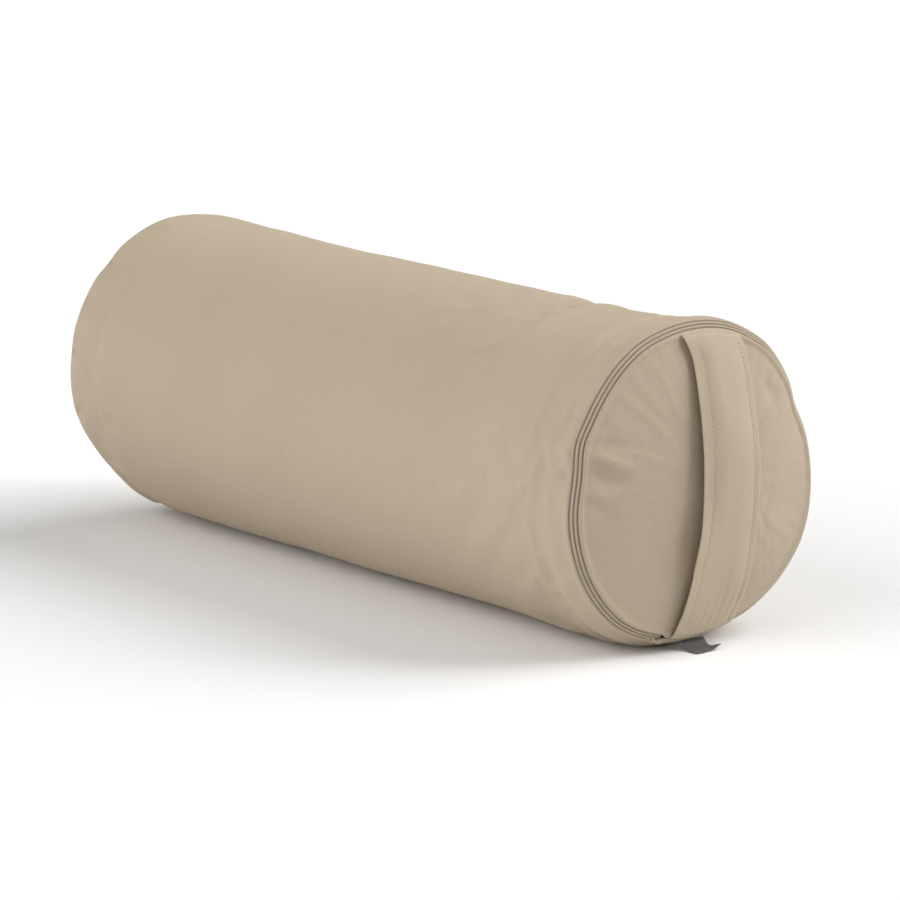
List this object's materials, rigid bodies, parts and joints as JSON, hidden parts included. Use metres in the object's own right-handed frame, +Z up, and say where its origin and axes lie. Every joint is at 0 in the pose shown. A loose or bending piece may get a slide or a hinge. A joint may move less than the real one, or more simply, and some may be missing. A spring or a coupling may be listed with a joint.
{
  "type": "bolster pillow",
  "caption": "Round bolster cushion with a zipped cotton twill cover, a carry strap on one end, a blank side label and a fibre-filled inner cushion.",
  "frame": {"origin": "on the floor, under the middle of the bolster: the centre of its flattened rest face", "axes": "+X along the bolster's axis towards the end with the carry strap, +Z up"},
  "size_m": [0.6102, 0.221, 0.2222],
  "materials": {
    "cover": "twill cotton cloth, matt",
    "end_panel": "twill cotton cloth, matt",
    "strap": "doubled twill cotton cloth, matt",
    "thread": "spun sewing thread",
    "zip_tape": "woven tape, matt",
    "zip_coil": "nylon coil",
    "zip_metal": "enamelled zinc, satin",
    "label": "woven satin label, blank",
    "liner": "plain cotton calico",
    "fibre": "loose plant fibre"
  },
  "bodies": {
    "cover": {"cover_tube": "cover", "far_end_panel": "cover", "far_rim_stitch": "thread", "long_seam_stitch": "thread", "foot_seam_strip": "cover", "foot_seam_stitch": "thread", "zip_tape_tube_side": "zip_tape", "zip_coil_tube_side": "zip_coil", "zip_stitch_tube_side": "thread", "zip_stops": "zip_coil", "liner_tube": "liner", "liner_near_end": "liner", "liner_far_end": "liner", "liner_rim_stitch": "thread", "liner_closing_stitch": "thread", "filling": "fibre"},
    "end_panel": {"handle_end_panel": "end_panel", "zip_tape_panel_side": "zip_tape", "zip_coil_panel_side": "zip_coil", "zip_stitch_panel_side": "thread", "handle_tack_stitch": "thread"},
    "handle": {"handle_strap": "strap", "handle_topstitch": "thread"},
    "zip_slider": {"zip_slider": "zip_metal"},
    "zip_pull": {"zip_pull": "zip_metal"},
    "side_label": {"side_label": "label"}
  },
  "joints": [
    {"name": "end_panel_open", "type": "hinge", "parent": "cover", "child": "end_panel", "pos_m": [0.2805, 0, 0.0078], "axis": [0, 1, 0], "range_deg": [0, 50], "stiffness_Nm_per_rad": 0.6},
    {"name": "handle_lift", "type": "slide", "parent": "end_panel", "child": "handle", "axis": [1, 0, 0], "range_m": [-0.008, 0.006], "stiffness_N_per_m": 60, "deforming": ["handle_strap", "handle_topstitch"]},
    {"name": "zip_slide", "type": "hinge", "parent": "cover", "child": "zip_slider", "pos_m": [0, 0, 0.1135], "axis": [-1, 0, 0], "range_deg": [0, 323]},
    {"name": "zip_pull_flip", "type": "hinge", "parent": "zip_slider", "child": "zip_pull", "pos_m": [0.28135, -0.03426, 0.01112], "axis": [-0.7071, -0.2244, -0.6706], "range_deg": [0, 90]},
    {"name": "label_flip", "type": "hinge", "parent": "cover", "child": "side_label", "pos_m": [0.2806, 0.002, 0.0064], "axis": [0, 1, 0], "range_deg": [-35, 0], "stiffness_Nm_per_rad": 0.002}
  ]
}
